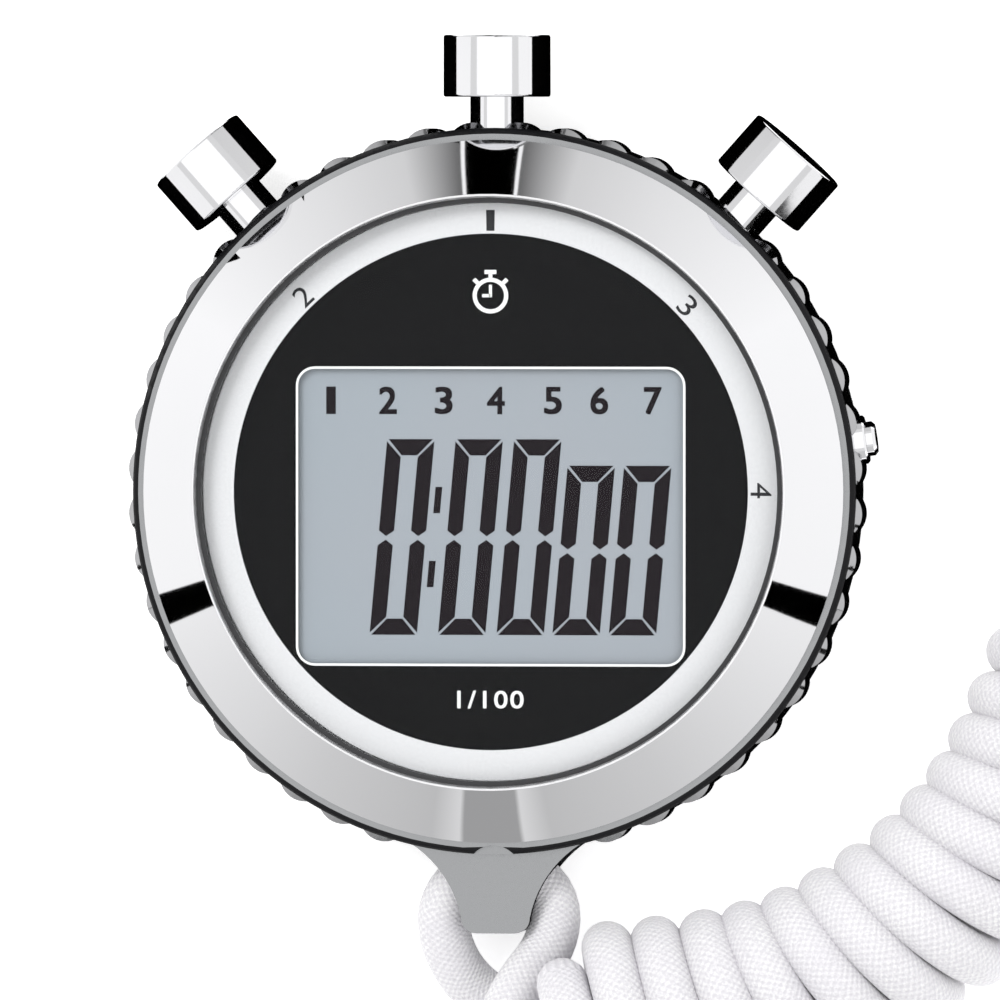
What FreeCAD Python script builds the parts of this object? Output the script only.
import FreeCAD, Part
import math
import os
import Sketcher
from FreeCAD import Placement, Rotation, Vector

# Digital pocket stopwatch with three crown pushers, a light pusher and a wrapped lanyard.
# Millimetres. The watch lies on its back: +Z out of the dial, +Y to 12 o'clock, +X to 3 o'clock.
# The origin is the centre of the back cover's outer face.

os.makedirs("parts", exist_ok=True)
doc = FreeCAD.newDocument("stopwatch")
sheet = doc.addObject("Spreadsheet::Sheet", "sizes")

SIZES = {
    # case
    "case_radius": 30.5,  # plain shoulder, and the valleys of the scalloped grip
    "grip_radius": "case_radius + 0.5",  # over the tips of the grip lobes
    "lobe_radius": "case_radius * 0.0711",
    "back_rim": "case_radius - 2.3",
    "cavity_radius": "case_radius - 5.9",
    "back_bore": "case_radius - 7.9",
    "case_back": 0.5,  # the case's back face stands this far off the surface
    "board_seat": "cover_thick + battery_thick + 0.6",
    "grip_low": 4.2,
    "grip_high": "watch_depth - 5.4",
    "shoulder_top": "watch_depth - 4.6",
    "watch_depth": 15.6,
    "spigot_radius": "case_radius - 4.3",
    "bezel_foot": "case_radius - 1",
    "bezel_lip": "case_radius - 5.55",
    "fit_gap": 0.05,  # named clearances
    "running_gap": 0.07,
    "seat_gap": 0.1,
    # dial stack
    "dial_radius": "case_radius - 8.9",
    "ring_radius": "case_radius - 6.3",
    "lens_low": "watch_depth - 2.3",
    "lens_thick": 1.5,
    "print_thick": 0.25,
    "window_wide": 32.4,
    "window_tall": 24.7,
    "window_drop": 2.05,
    "lcd_wide": 35.4,
    "lcd_tall": 27.4,
    "lcd_thick": 1.2,
    # back
    "cover_radius": "case_radius - 3.5",
    "cover_thick": 1.2,
    "screw_circle": "case_radius - 5.3",
    "board_thick": 1.0,
    "battery_radius": 10.0,
    "battery_thick": 3.2,
    # pushers
    "pusher_level": "board_seat + 2.8",
    "crown_angle": 41.6,
    "light_angle": 82.0,
    "crown_radius": 4.5,
    "crown_tall": 5.2,
    "crown_foot": "case_radius + 2.6",
    "crown_travel": 1.2,
    "neck_radius": 2.25,
    "stem_radius": 1.0,
    "light_radius": 1.45,
    "light_collar": 2.05,
    "light_travel": 0.7,
    "wire": 0.15,
    # lug and lanyard
    "lug_low": 1.8,
    "lug_high": 9.2,
    "lug_tip": "case_radius + 6.7",
    "cord_radius": 2.2,
    "cord_gap": 0.25,
    "wrap_radius": "cord_radius * 3.909",
}

for row, (name, content) in enumerate(SIZES.items(), 1):
    sheet.set(f"A{row}", name)
    sheet.setAlias(f"B{row}", name)
for row, content in enumerate(SIZES.values(), 1):
    sheet.set(f"B{row}", f"={content}")
doc.recompute()


class Size:
    """A length together with the sheet expression it is worked out from."""

    def __init__(self, value, text):
        self.value = value
        self.text = text

    def __add__(self, other):
        other = size_of(other)
        return Size(self.value + other.value, f"({self.text} + {other.text})")

    def __sub__(self, other):
        other = size_of(other)
        return Size(self.value - other.value, f"({self.text} - {other.text})")

    def __mul__(self, factor):
        return Size(self.value * factor, f"({self.text} * {factor})")

    def __truediv__(self, divisor):
        return Size(self.value / divisor, f"({self.text} / {divisor})")

    def __neg__(self):
        return Size(-self.value, f"(0 - {self.text})")

    def __radd__(self, other):
        return size_of(other) + self

    def __rsub__(self, other):
        return size_of(other) - self


def size_of(number):
    return number if isinstance(number, Size) else Size(float(number), f"({float(number)})")


def dim(name):
    return Size(float(sheet.get(name)), f"sizes.{name}")


def bind(thing, prop, size):
    """Sets a property now and ties it to the sheet."""
    size = size_of(size)
    if "." not in prop:
        setattr(thing, prop, size.value)
    if "sizes." in size.text:
        thing.setExpression(prop, size.text)


def plane_of(body, role):
    return next(f for f in body.Origin.OriginFeatures if f.Role == role)


def new_body(label, place=None):
    body = doc.addObject("PartDesign::Body", label)
    body.Label = label
    if place is not None:
        body.Placement = place
    return body


def new_sketch(body, role, level=0):
    sketch = body.newObject("Sketcher::SketchObject", body.Name + "_sketch")
    sketch.AttachmentSupport = [(plane_of(body, role), "")]
    sketch.MapMode = "FlatFace"
    level = size_of(level)
    sketch.AttachmentOffset = Placement(Vector(0, 0, level.value), Rotation())
    bind(sketch, "AttachmentOffset.Base.z", level)
    return sketch


def pin(sketch, curve, vertex, x, y):
    """Ties one point of a sketch to two sheet expressions."""
    for kind, axis, size in (("DistanceX", -2, size_of(x)), ("DistanceY", -1, size_of(y))):
        if size.value == 0:
            sketch.addConstraint(Sketcher.Constraint("PointOnObject", curve, vertex, axis))
            continue
        number = sketch.addConstraint(
            Sketcher.Constraint(kind, -1, 1, curve, vertex, size.value)
        )
        if "sizes." in size.text:
            sketch.setExpression(f"Constraints[{number}]", size.text)


def outline(sketch, points):
    """A closed outline. A point is (x, y), or (x, y, r) to reach the next one by an arc of
    radius r that bulges to the left of the way there, or to the right if r is negative."""
    count = len(points)
    first = sketch.GeometryCount
    for i, point in enumerate(points):
        a = Vector(size_of(point[0]).value, size_of(point[1]).value, 0)
        following = points[(i + 1) % count]
        b = Vector(size_of(following[0]).value, size_of(following[1]).value, 0)
        if len(point) == 2:
            sketch.addGeometry(Part.LineSegment(a, b), False)
            continue
        radius = size_of(point[2]).value
        chord = (b - a).Length
        left = Vector(a.y - b.y, b.x - a.x, 0).normalize()
        sag = abs(radius) - math.sqrt(radius * radius - chord * chord / 4)
        middle = (a + b) / 2 + left * math.copysign(sag, radius)
        sketch.addGeometry(Part.Arc(a, middle, b), False)
    ends = []
    for i, point in enumerate(points):
        curve = first + i
        # an arc runs anticlockwise in the sketch, so one bulging left starts at its far end
        flipped = len(point) == 3 and size_of(point[2]).value > 0
        ends.append((curve, 2 if flipped else 1, 1 if flipped else 2))
    for i in range(count):
        curve, _, end = ends[i]
        after, start, _ = ends[(i + 1) % count]
        sketch.addConstraint(Sketcher.Constraint("Coincident", curve, end, after, start))
    for (curve, start, _), point in zip(ends, points):
        pin(sketch, curve, start, point[0], point[1])
        if len(point) == 3:
            radius = size_of(point[2])
            number = sketch.addConstraint(
                Sketcher.Constraint("Radius", curve, abs(radius.value))
            )
            if "sizes." in radius.text and radius.value > 0:
                sketch.setExpression(f"Constraints[{number}]", radius.text)


def ring(sketch, radius, x=0, y=0):
    """A circle in a sketch."""
    radius = size_of(radius)
    centre = Vector(size_of(x).value, size_of(y).value, 0)
    curve = sketch.addGeometry(Part.Circle(centre, Vector(0, 0, 1), radius.value), False)
    number = sketch.addConstraint(Sketcher.Constraint("Radius", curve, radius.value))
    if "sizes." in radius.text:
        sketch.setExpression(f"Constraints[{number}]", radius.text)
    pin(sketch, curve, 3, x, y)


def box_points(wide, tall, x=0, y=0):
    half_wide, half_tall = size_of(wide) / 2, size_of(tall) / 2
    x, y = size_of(x), size_of(y)
    return [
        (x - half_wide, y - half_tall),
        (x + half_wide, y - half_tall),
        (x + half_wide, y + half_tall),
        (x - half_wide, y + half_tall),
    ]


def rounded_box(wide, tall, corner, y):
    """A box outline about (0, y) with its corners rounded."""
    right, top, low = wide / 2, y + tall / 2, y - tall / 2
    return [
        (-right + corner, low),
        (right - corner, low, -corner),
        (right, low + corner),
        (right, top - corner, -corner),
        (right - corner, top),
        (-right + corner, top, -corner),
        (-right, top - corner),
        (-right, low + corner, -corner),
    ]


def revolve(body, points):
    """Turns an outline of (radius, height) points about the body's Z axis."""
    sketch = new_sketch(body, "XZ_Plane")
    outline(sketch, points)
    feature = body.newObject("PartDesign::Revolution", body.Name + "_turned")
    feature.Profile = sketch
    feature.ReferenceAxis = (sketch, ["V_Axis"])
    feature.Angle = 360
    return feature


def pad(body, low, thick, draw, role="XY_Plane"):
    sketch = new_sketch(body, role, low)
    draw(sketch)
    feature = body.newObject("PartDesign::Pad", body.Name + "_pad")
    feature.Profile = sketch
    bind(feature, "Length", thick)
    return feature


def pocket(body, low, thick, draw):
    """Cuts from the level low upwards."""
    sketch = new_sketch(body, "XY_Plane", low)
    draw(sketch)
    feature = body.newObject("PartDesign::Pocket", body.Name + "_cut")
    feature.Profile = sketch
    feature.Reversed = True
    bind(feature, "Length", thick)
    return feature


def bore(body, radius, length, place):
    feature = body.newObject("PartDesign::SubtractiveCylinder", body.Name + "_bore")
    bind(feature, "Radius", radius)
    bind(feature, "Height", length)
    feature.Placement = place
    return feature


def round_edges(body, radius, wanted, kind="Fillet"):
    """Rounds or chamfers every edge of the body that wanted() picks."""
    doc.recompute()
    base = body.Tip
    names = [f"Edge{i}" for i, e in enumerate(base.Shape.Edges, 1) if wanted(e)]
    feature = body.newObject("PartDesign::" + kind, body.Name + "_" + kind.lower())
    feature.Base = (base, names)
    if kind == "Fillet":
        bind(feature, "Radius", radius)
    else:
        bind(feature, "Size", radius)
    return feature


def circle_at(level, radius):
    """Picks a round edge lying flat at a level."""
    def wanted(edge):
        curve = edge.Curve
        if not isinstance(curve, Part.Circle) or edge.Length < 6.2 * radius.value * 0.99:
            return False
        return (
            abs(curve.Center.z - level.value) < 1e-4 and abs(curve.Radius - radius.value) < 1e-4
        )
    return wanted


def around(angle, out=0.0, level=0.0, turn_in=False):
    """A placement at a clock angle (degrees clockwise from +Y) whose Z axis points outwards."""
    a = math.radians(angle)
    radial = Vector(math.sin(a), math.cos(a), 0)
    turn = Rotation(Vector(0, 0, 1), -angle).multiply(Rotation(Vector(1, 0, 0), -90))
    base = radial * size_of(out).value + Vector(0, 0, size_of(level).value)
    return Placement(base, turn)


case_radius, grip_radius = dim("case_radius"), dim("grip_radius")
cavity, back_bore = dim("cavity_radius"), dim("back_bore")
case_back, board_seat = dim("case_back"), dim("board_seat")
shoulder, depth = dim("shoulder_top"), dim("watch_depth")
spigot, foot, lip = dim("spigot_radius"), dim("bezel_foot"), dim("bezel_lip")
fit, run, seat = dim("fit_gap"), dim("running_gap"), dim("seat_gap")
dial, label = dim("dial_radius"), dim("ring_radius")
lens_low, lens_thick, print_thick = dim("lens_low"), dim("lens_thick"), dim("print_thick")
cover, cover_thick = dim("cover_radius"), dim("cover_thick")
board_thick = dim("board_thick")
level = dim("pusher_level")
neck, stem = dim("neck_radius"), dim("stem_radius")
crown, crown_tall, crown_foot = dim("crown_radius"), dim("crown_tall"), dim("crown_foot")
light, collar = dim("light_radius"), dim("light_collar")
drop = dim("window_drop")
cord, cord_gap = dim("cord_radius"), dim("cord_gap")

CROWN_ANGLES = {
    "lap": -SIZES["crown_angle"],
    "mode": 0.0,
    "start": SIZES["crown_angle"],
}
LIGHT_ANGLE = SIZES["light_angle"]
SCREW_ANGLES = (45, 135, 225, 315)

# ---------------------------------------------------------------- case
mid = new_body("mid_case")
spigot_floor = level + neck + 0.15
revolve(mid, [
    (back_bore, cover_thick),
    (cover + seat, cover_thick),
    (cover + seat, case_back),
    (dim("back_rim"), case_back),
    (case_radius, dim("grip_low") - 1.4),
    (case_radius, shoulder),
    (spigot + fit, shoulder),
    (spigot + fit, spigot_floor),
    (cavity, spigot_floor),
    (cavity, board_seat),
    (back_bore, board_seat),
])
round_edges(mid, 0.5, circle_at(shoulder, case_radius))


root = case_radius - 1.9


def lug_outline(sketch):
    tip = -dim("lug_tip")
    outline(sketch, [
        (9.4, -root, -9.6),
        (2.9, tip + 1.3, 1.3),
        (1.6, tip),
        (-1.6, tip, 1.3),
        (-2.9, tip + 1.3, -9.6),
        (-9.4, -root),
    ])


pad(mid, dim("lug_low"), dim("lug_high") - dim("lug_low"), lug_outline)

# one lobe of the grip, turned about its own axis, then repeated all round but for the lug
LOBE_PITCH = 7.5
LOBES_KEPT = 44
FIRST_LOBE = -90 + 2.5 * LOBE_PITCH
lobe = new_sketch(mid, "XZ_Plane")
lobe.AttachmentOffset = Placement(Vector(0, 0, 0), Rotation(Vector(0, 1, 0), FIRST_LOBE))
lobe_axis = grip_radius - dim("lobe_radius")
low, high = dim("grip_low"), dim("grip_high")
outline(lobe, [
    (lobe_axis, low),
    (grip_radius - 0.5, low),
    (grip_radius, low + 0.5),
    (grip_radius, high - 0.5),
    (grip_radius - 0.5, high),
    (lobe_axis, high),
])
centre_line = lobe.addGeometry(
    Part.LineSegment(Vector(lobe_axis.value, low.value, 0), Vector(lobe_axis.value, high.value, 0)),
    True,
)
pin(lobe, centre_line, 1, lobe_axis, low)
pin(lobe, centre_line, 2, lobe_axis, high)
lobe_solid = mid.newObject("PartDesign::Revolution", "grip_lobe")
lobe_solid.Profile = lobe
lobe_solid.ReferenceAxis = (lobe, ["Axis0"])
lobe_solid.Angle = 360
mid.Tip = lobe_solid
doc.recompute()
grip_lobes = mid.newObject("PartDesign::PolarPattern", "grip_lobes")
grip_lobes.Originals = [lobe_solid]
grip_lobes.Axis = (plane_of(mid, "Z_Axis"), [""])
grip_lobes.Angle = LOBE_PITCH * (LOBES_KEPT - 1)
grip_lobes.Occurrences = LOBES_KEPT
mid.Tip = grip_lobes

pocket(mid, cover_thick, 0.5, lambda s: (ring(s, cover - 3.25), ring(s, cover - 4.15)))
screw_step = dim("screw_circle") * 0.70710678


def screw_rings(radius):
    def draw(sketch):
        for sx, sy in ((1, 1), (-1, 1), (-1, -1), (1, -1)):
            ring(sketch, radius, screw_step * sx, screw_step * sy)
    return draw


pocket(mid, cover_thick, 2.8, screw_rings(0.8))
# pry notch in the shoulder at 6 o'clock
pocket(mid, shoulder - 0.8, 0.8, lambda s: ring(s, 2.25, 0, -(case_radius + 1.45)))
for angle in CROWN_ANGLES.values():
    bore(mid, neck, 40, around(angle, 0, level))
bore(mid, collar, 40, around(LIGHT_ANGLE, 0, level))

# ---------------------------------------------------------------- bezel, lens and dial
bezel = new_body("bezel")
lens_edge = label + 0.05
lens_bore = label + 0.45
print_top = lens_low - fit
ledge = print_top - print_thick
revolve(bezel, [
    (lens_edge - 0.85, ledge - 0.3),
    (cavity, ledge - 0.3),
    (cavity, spigot_floor),
    (spigot, spigot_floor),
    (spigot, shoulder),
    (foot, shoulder),
    (foot, shoulder + 0.5, -30.0),
    (lip, depth),
    (lip - 0.15, depth),
    (lens_bore, depth - 0.6),
    (lens_bore, ledge),
    (lens_edge - 0.85, ledge),
])
round_edges(bezel, 0.12, circle_at(depth, lip))

lens = new_body("lens")
lens_top = lens_low + lens_thick
revolve(lens, [
    (0, lens_low),
    (lens_edge, lens_low),
    (lens_edge, lens_top - 0.2),
    (lens_edge - 0.2, lens_top),
    (0, lens_top),
])

gasket = new_body("lens_gasket")
revolve(gasket, [
    (lens_edge, lens_low),
    (lens_bore, lens_low),
    (lens_bore, lens_top + 0.1),
    (lens_edge, lens_top + 0.1),
])

label_ring = new_body("label_ring")
revolve(label_ring, [
    (dial + fit, ledge),
    (label, ledge),
    (label, print_top),
    (dial + fit, print_top),
])

window_wide, window_tall = dim("window_wide"), dim("window_tall")
mask = new_body("dial_mask")
pad(mask, ledge, print_thick, lambda s: ring(s, dial))
pocket(mask, ledge, print_thick,
       lambda s: outline(s, rounded_box(window_wide, window_tall, 1.4, -drop)))

# ---------------------------------------------------------------- display module
lcd_wide, lcd_tall, lcd_thick = dim("lcd_wide"), dim("lcd_tall"), dim("lcd_thick")
board_top = board_seat + board_thick
holder_top = ledge - 0.35
lcd_low = holder_top - lcd_thick
light_low = lcd_low - 0.8
holder_low = light_low - 0.5
holder_edge = cavity - 0.4
strip_out = lcd_tall / 2 - 1.5

lcd = new_body("lcd_panel")
pad(lcd, lcd_low, lcd_thick, lambda s: outline(s, box_points(lcd_wide, lcd_tall, 0, -drop)))

backlight = new_body("backlight_panel")
pad(backlight, light_low, 0.8,
    lambda s: outline(s, box_points(lcd_wide, strip_out * 2 - 3.0, 0, -drop)))

POSTS = ((15.6, 7.0), (-15.6, 7.0), (-17.4, -11.5), (17.4, -11.5))


def post_rings(radius):
    def draw(sketch):
        for x, y in POSTS:
            ring(sketch, radius, x, y)
    return draw


def strip_boxes(grow):
    def draw(sketch):
        for side in (1, -1):
            outline(sketch, box_points(30 + grow * 2, 1.8 + grow * 2, 0, strip_out * side - drop))
    return draw


holder = new_body("display_holder")
pad(holder, holder_low, holder_top - holder_low, lambda s: ring(s, holder_edge))
pad(holder, board_top, holder_low - board_top, post_rings(1.8))
pocket(holder, light_low, holder_top - light_low,
       lambda s: outline(s, box_points(lcd_wide + seat * 2, lcd_tall + seat * 2, 0, -drop)))
pocket(holder, holder_low, light_low - holder_low, strip_boxes(0.1))
pocket(holder, board_top, 3.4, post_rings(0.7))

strips = new_body("zebra_strips")
strips.AllowCompound = True
pad(strips, board_top, lcd_low - board_top, strip_boxes(0))

board = new_body("circuit_board")
pad(board, board_seat, board_thick, lambda s: ring(s, cavity - 0.4))
pocket(board, board_seat, board_thick, post_rings(0.8))

board_screws = new_body("board_screws")
board_screws.AllowCompound = True
pad(board_screws, board_seat - 0.9, 0.9, post_rings(1.4))
pad(board_screws, board_seat, 4.0, post_rings(0.7))

chip = new_body("controller_chip")
pad(chip, board_top, 1.2, lambda s: outline(s, box_points(9, 9, -2, -1)))

crystal = new_body("quartz_crystal", Placement(Vector(8, -3, 7.1), Rotation(Vector(1, 0, 0), 90)))
pad(crystal, 0, 6.0, lambda s: ring(s, 1.1))
bind(crystal, "Placement.Base.z", board_top + 1.1)

# ---------------------------------------------------------------- battery and buzzer
battery_radius, battery_thick = dim("battery_radius"), dim("battery_thick")
BATTERY_Y = -8.5
contact_thick = 0.12
battery_top = board_seat - contact_thick
battery = new_body("battery", Placement(Vector(0, BATTERY_Y, 0), Rotation()))
pad(battery, battery_top - battery_thick, battery_thick, lambda s: ring(s, battery_radius))

battery_contact = new_body("battery_contact", Placement(Vector(0, BATTERY_Y, 0), Rotation()))
pad(battery_contact, battery_top, contact_thick, lambda s: ring(s, 4.0))

cradle = new_body("battery_cradle", Placement(Vector(0, BATTERY_Y, 0), Rotation()))
pad(cradle, board_seat - 2.6, 2.6,
    lambda s: (ring(s, battery_radius + seat + 1.0), ring(s, battery_radius + seat)))

strap = new_body("battery_strap", Placement(Vector(0, BATTERY_Y, 0), Rotation()))
strap_low = battery_top - battery_thick - 0.3
strap_half = battery_radius + seat + 1.4
pad(strap, -1.75, 3.5, lambda s: outline(s, [
    (-strap_half - 0.3, strap_low),
    (strap_half + 0.3, strap_low),
    (strap_half + 0.3, board_seat),
    (strap_half, board_seat),
    (strap_half, strap_low + 0.3),
    (-strap_half, strap_low + 0.3),
    (-strap_half, board_seat),
    (-strap_half - 0.3, board_seat),
]), role="XZ_Plane")

BUZZER_Y = 12.0
buzzer = new_body("buzzer_disc", Placement(Vector(0, BUZZER_Y, 0), Rotation()))
pad(buzzer, cover_thick, 0.35, lambda s: ring(s, 7.0))


def coil_spring(label, mean, wire, low, height, pitch, place):
    """A round-wire spring along the body's Z axis, resting on low."""
    body = new_body(label, place)
    sketch = new_sketch(body, "XZ_Plane")
    ring(sketch, wire, mean, low + wire)
    coil = body.newObject("PartDesign::AdditiveHelix", label + "_coil")
    coil.Profile = sketch
    coil.ReferenceAxis = (sketch, ["V_Axis"])
    coil.Mode = "pitch-height-angle"
    bind(coil, "Pitch", pitch)
    bind(coil, "Height", height - wire * 2)
    return body


coil_spring("buzzer_spring", 1.1, size_of(0.15), cover_thick + 0.35, board_seat - cover_thick - 0.35,
            0.9, Placement(Vector(0, BUZZER_Y, 0), Rotation()))

# ---------------------------------------------------------------- back
back = new_body("back_cover")
revolve(back, [
    (0, 0),
    (cover - 0.4, 0),
    (cover, 0.4),
    (cover, cover_thick),
    (0, cover_thick),
])
pocket(back, 0, 0.55, screw_rings(1.4))
pocket(back, 0.55, cover_thick - 0.55, screw_rings(0.9))

back_gasket = new_body("back_gasket")
pad(back_gasket, cover_thick, 0.45, lambda s: (ring(s, cover - 3.35), ring(s, cover - 4.05)))

back_screws = new_body("back_screws")
back_screws.AllowCompound = True
pad(back_screws, 0.1, 0.45, screw_rings(1.3))
pad(back_screws, 0.55, 3.0, screw_rings(0.8))


def screw_slots(sketch):
    for sx, sy in ((1, 1), (-1, 1), (-1, -1), (1, -1)):
        outline(sketch, box_points(3.0, 0.35, screw_step * sx, screw_step * sy))


pocket(back_screws, 0.1, 0.22, screw_slots)

# ---------------------------------------------------------------- crown pushers
wire = dim("wire")
crown_top = crown_foot + crown_tall
spring_roof = crown_foot + 3.8
stem_roof = spring_roof + 0.7
crown_tip = 23.0
travel = dim("crown_travel")
tube_in = cavity - 0.3
tube_out = crown_foot + 1.8
spring_seat = crown_foot - 1.6
seal_level = case_radius - 2.1
clip_top = tube_in - 0.05


def contact_leaf(label, angle, tip, travel):
    """A bent strip on the board that the pressed stem meets."""
    body = new_body(label, around(angle, 0, level))
    face = size_of(tip) - travel - 0.15
    floor = level - board_top
    pad(body, -1.5, 3.0, lambda s: outline(s, [
        (-1.4, face - 0.25),
        (floor - 0.25, face - 0.25),
        (floor - 0.25, face - 2.2),
        (floor, face - 2.2),
        (floor, face),
        (-1.4, face),
    ]), role="YZ_Plane")


for name, angle in CROWN_ANGLES.items():
    place = around(angle, 0, level)
    tube = new_body(name + "_tube", place)
    revolve(tube, [
        (stem + fit, tube_in),
        (neck, tube_in),
        (neck, tube_out),
        (stem + 0.8, tube_out),
        (stem + 0.8, spring_seat),
        (stem + fit, spring_seat),
        (stem + fit, seal_level + 0.4),
        (stem + 0.6, seal_level + 0.4),
        (stem + 0.6, seal_level - 0.4),
        (stem + fit, seal_level - 0.4),
    ])

    cap = new_body(name + "_cap", place)
    revolve(cap, [
        (0, stem_roof),
        (stem, stem_roof),
        (stem, spring_roof),
        (neck + run, spring_roof),
        (neck + run, crown_foot),
        (crown, crown_foot),
        (crown, crown_top),
        (0, crown_top),
    ])
    round_edges(cap, 0.2, lambda e: isinstance(e.Curve, Part.Circle)
                and abs(e.Curve.Radius - crown.value) < 1e-4)

    rod = new_body(name + "_stem", place)
    revolve(rod, [
        (0, crown_tip),
        (stem - 0.2, crown_tip),
        (stem, crown_tip + 0.2),
        (stem, clip_top - 0.35),
        (stem - 0.3, clip_top - 0.35),
        (stem - 0.3, clip_top + 0.02),
        (stem, clip_top + 0.02),
        (stem, stem_roof),
        (0, stem_roof),
    ])

    clip = new_body(name + "_circlip", place)
    clip_turn = revolve(clip, [
        (stem - 0.28, clip_top - 0.3),
        (stem + 0.6, clip_top - 0.3),
        (stem + 0.6, clip_top),
        (stem - 0.28, clip_top),
    ])
    clip_turn.Angle = 290

    seal = new_body(name + "_o_ring", place)
    seal_sketch = new_sketch(seal, "XZ_Plane")
    ring(seal_sketch, 0.26, stem + 0.32, seal_level)
    seal_turn = seal.newObject("PartDesign::Revolution", name + "_o_ring_turned")
    seal_turn.Profile = seal_sketch
    seal_turn.ReferenceAxis = (seal_sketch, ["V_Axis"])
    seal_turn.Angle = 360

    coil_spring(name + "_spring", stem + 0.42, wire, spring_seat, spring_roof - spring_seat,
                0.9, place)
    contact_leaf(name + "_contact", angle, crown_tip, travel)

# ---------------------------------------------------------------- light pusher
light_place = around(LIGHT_ANGLE, 0, level)
light_stem = light - 0.65
light_tip = crown_tip - 0.5
collar_out = grip_radius + 0.5
button_top = collar_out + 0.8
button_foot = collar_out - 2.0
light_seat = button_foot - 2.4
light_seal = light_seat - 1.4

light_collar = new_body("light_collar", light_place)
revolve(light_collar, [
    (light_stem + fit, tube_in),
    (collar, tube_in),
    (collar, collar_out - 0.15),
    (collar - 0.15, collar_out),
    (light + run, collar_out),
    (light + run, light_seat),
    (light_stem + fit, light_seat),
    (light_stem + fit, light_seal + 0.35),
    (light_stem + 0.55, light_seal + 0.35),
    (light_stem + 0.55, light_seal - 0.35),
    (light_stem + fit, light_seal - 0.35),
])

light_button = new_body("light_button", light_place)
revolve(light_button, [
    (0, light_tip),
    (light_stem, light_tip),
    (light_stem, clip_top - 0.35),
    (light_stem - 0.3, clip_top - 0.35),
    (light_stem - 0.3, clip_top + 0.02),
    (light_stem, clip_top + 0.02),
    (light_stem, button_foot),
    (light, button_foot),
    (light, button_top - 0.25),
    (light - 0.25, button_top),
    (0, button_top),
])

light_clip = new_body("light_circlip", light_place)
light_clip_turn = revolve(light_clip, [
    (light_stem - 0.28, clip_top - 0.3),
    (light_stem + 0.5, clip_top - 0.3),
    (light_stem + 0.5, clip_top),
    (light_stem - 0.28, clip_top),
])
light_clip_turn.Angle = 290

light_seal_body = new_body("light_o_ring", light_place)
light_seal_sketch = new_sketch(light_seal_body, "XZ_Plane")
ring(light_seal_sketch, 0.22, light_stem + 0.29, light_seal)
light_seal_turn = light_seal_body.newObject("PartDesign::Revolution", "light_o_ring_turned")
light_seal_turn.Profile = light_seal_sketch
light_seal_turn.ReferenceAxis = (light_seal_sketch, ["V_Axis"])
light_seal_turn.Angle = 360

coil_spring("light_spring", light_stem + 0.33, wire * 0.8, light_seat, button_foot - light_seat,
            0.7, light_place)
contact_leaf("light_contact", LIGHT_ANGLE, light_tip, dim("light_travel"))

# ---------------------------------------------------------------- lanyard
# A cord tube is straight runs joined by tangent arcs.
CORD = cord.value
WRAP = dim("wrap_radius").value
ROUTE_CORD = 2.2
ROUTE_HOLE = 31.75
cord_scale = CORD / ROUTE_CORD
hole_out = (dim("lug_tip") - 5.45).value


def laid(x, y, z):
    """A point of the lanyard's layout, which grows with the cord and starts at the lug."""
    return Vector(x * cord_scale, (y + ROUTE_HOLE) * cord_scale - hole_out, z * cord_scale)


def soft_path(points, name):
    """Straight runs joined by arcs as large as the two runs at each point allow."""
    points = [laid(*p) for p in points]
    edges, radii, start = [], [], points[0]
    for before, here, after in zip(points, points[1:], points[2:]):
        back = (before - here).normalize()
        onward = (after - here).normalize()
        turn = math.pi - back.getAngle(onward)
        reach = 0.45 * min((before - here).Length, (after - here).Length)
        radius = reach / math.tan(turn / 2)
        a, b = here + back * reach, here + onward * reach
        inward = (back + onward).normalize()
        centre = here + inward * (radius / math.cos(turn / 2))
        edges.append(Part.LineSegment(start, a).toShape())
        edges.append(Part.Arc(a, centre - inward * radius, b).toShape())
        radii.append(radius)
        start = b
    edges.append(Part.LineSegment(start, points[-1]).toShape())
    path = Part.Wire(edges)
    print(name, "bend radii", " ".join(f"{r:.1f}" for r in radii), f"length {path.Length:.1f}")
    return path


def tube(path, radius):
    first = path.Edges[0]
    start = first.Vertexes[0].Point
    along = first.tangentAt(first.FirstParameter)
    profile = Part.Wire([Part.Circle(start, along, radius).toShape()])
    solid = path.makePipeShell([profile], True, False)
    expected = math.pi * radius ** 2 * path.Length
    if abs(solid.Volume / expected - 1) > 0.02:
        raise RuntimeError("a cord tube lost part of its volume")
    return solid


def soft_node(label, shape):
    node = doc.addObject("Part::Feature", label)
    node.Label = label
    node.Shape = shape
    node.Placement = Placement()
    return node


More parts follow.
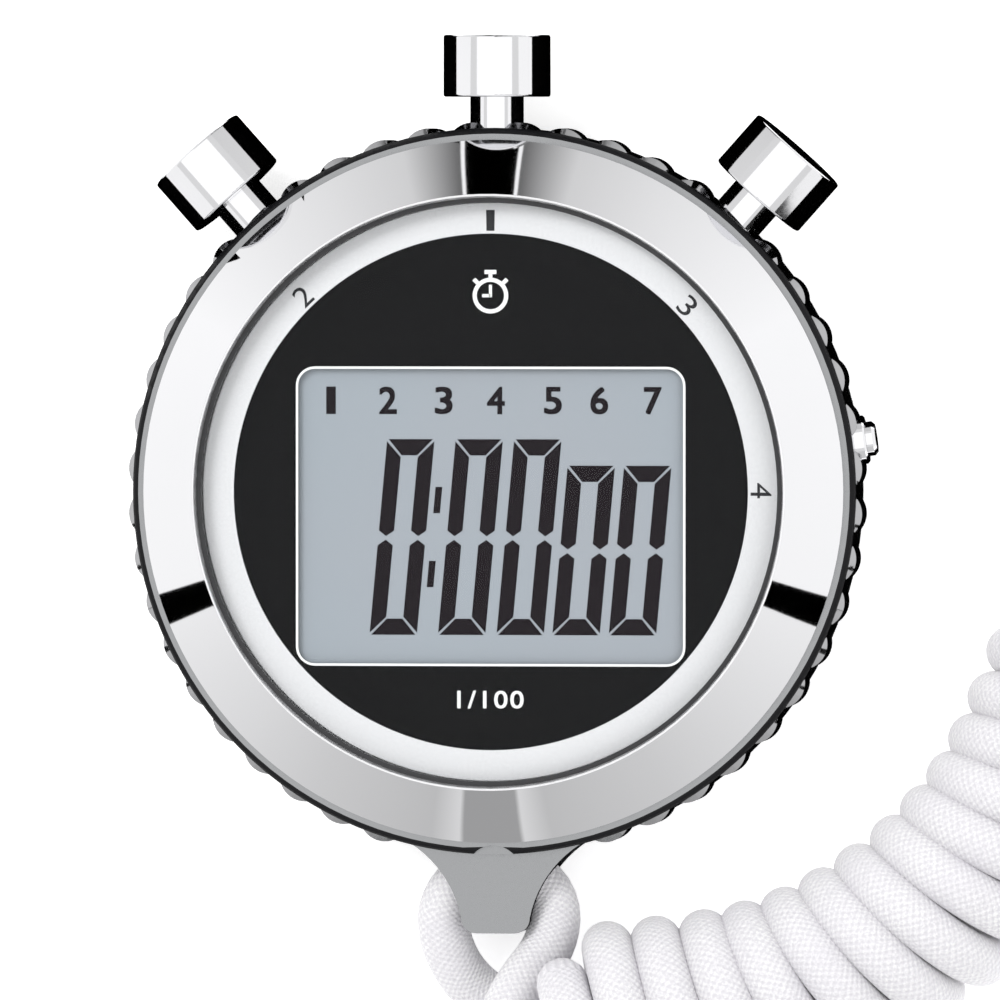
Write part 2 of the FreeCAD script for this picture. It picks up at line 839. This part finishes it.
# from the wrap, under the other strand, through the lug and back over to the wrap
LOOP = [
    (8.25, -42.3, 8.6), (5.0, -43.8, 6.4), (1.2, -44.0, 3.2), (-2.6, -42.2, 3.0),
    (-4.8, -38.4, 4.4), (-4.85, -34.6, 5.5), (-2.0, -31.75, 5.5), (2.0, -31.75, 5.5),
    (4.85, -34.6, 5.5), (4.5, -38.4, 6.9), (1.9, -41.6, 8.6), (0.2, -45.4, 9.0),
    (1.6, -49.2, 8.9), (5.4, -49.2, 8.7), (8.55, -46.7, 8.6),
]
IN_LUG = slice(3, 11)
WRAP_AXIS = [
    (8.4, -44.5, 8.6), (17.0, -43.9, 8.6), (26.0, -41.7, 8.6), (34.0, -37.2, 8.6),
    (41.2, -30.9, 8.6), (46.8, -22.4, 8.6), (50.2, -13.0, 8.6),
]
NECK_OUT = [(48.13, -12.25, 8.6), (49.8, -7.4, 6.5), (51.3, -1.9, 3.7), (51.6, 4.0, 2.3)]
NECK_BACK = [(52.27, -13.75, 8.6), (54.4, -7.6, 9.7), (53.6, -1.4, 8.9), (52.0, 4.6, 6.9)]
COIL_CENTRE = laid(78.0, 13.4, 0)
COIL_RADIUS = 28.6 * cord_scale
COIL_TALL = 8.9 * cord_scale

coil_solid = Part.makeCylinder(COIL_RADIUS, COIL_TALL, COIL_CENTRE)
coil_solid = coil_solid.makeFillet(2.0 * cord_scale, [e for e in coil_solid.Edges if isinstance(e.Curve, Part.Circle)])
wrap_solid = tube(soft_path(WRAP_AXIS, "wrap"), WRAP)
soft_node("lanyard_coil", coil_solid)
soft_node("lanyard_wrap", wrap_solid)
soft_node("lanyard_loop", tube(soft_path(LOOP, "loop"), CORD).cut(wrap_solid))
for label_text, points in (("lanyard_neck_out", NECK_OUT), ("lanyard_neck_back", NECK_BACK)):
    stretch = tube(soft_path(points, label_text), CORD)
    soft_node(label_text, stretch.cut(wrap_solid).cut(coil_solid))

# the lanyard's tunnel through the lug follows the cord itself
tunnel = doc.addObject("Part::Feature", "lug_tunnel")
tunnel.Shape = tube(soft_path(LOOP[IN_LUG], "tunnel"), CORD + cord_gap.value)
case_body = mid
case_body.Label = "mid_case_body"
mid_case = doc.addObject("Part::Cut", "mid_case_cut")
mid_case.Label = "mid_case"
mid_case.Base = case_body
mid_case.Tool = tunnel

# ---------------------------------------------------------------- checks and files
doc.recompute()
for thing in doc.Objects:
    if "Invalid" in thing.State or "Error" in thing.State:
        raise RuntimeError(f"{thing.Label} did not compute")

hidden = (case_body, tunnel)
nodes = [
    thing for thing in doc.Objects
    if (thing.isDerivedFrom("PartDesign::Body") or thing.isDerivedFrom("Part::Feature"))
    and thing.getParentGeoFeatureGroup() is None and thing not in hidden
]
for node in nodes:
    shape = node.Shape
    if shape.isNull() or not shape.isValid() or not shape.Solids:
        raise RuntimeError(f"{node.Label} has no valid solid")
    shape.exportStep(f"parts/{node.Label}.step")
print(len(nodes), "nodes written")
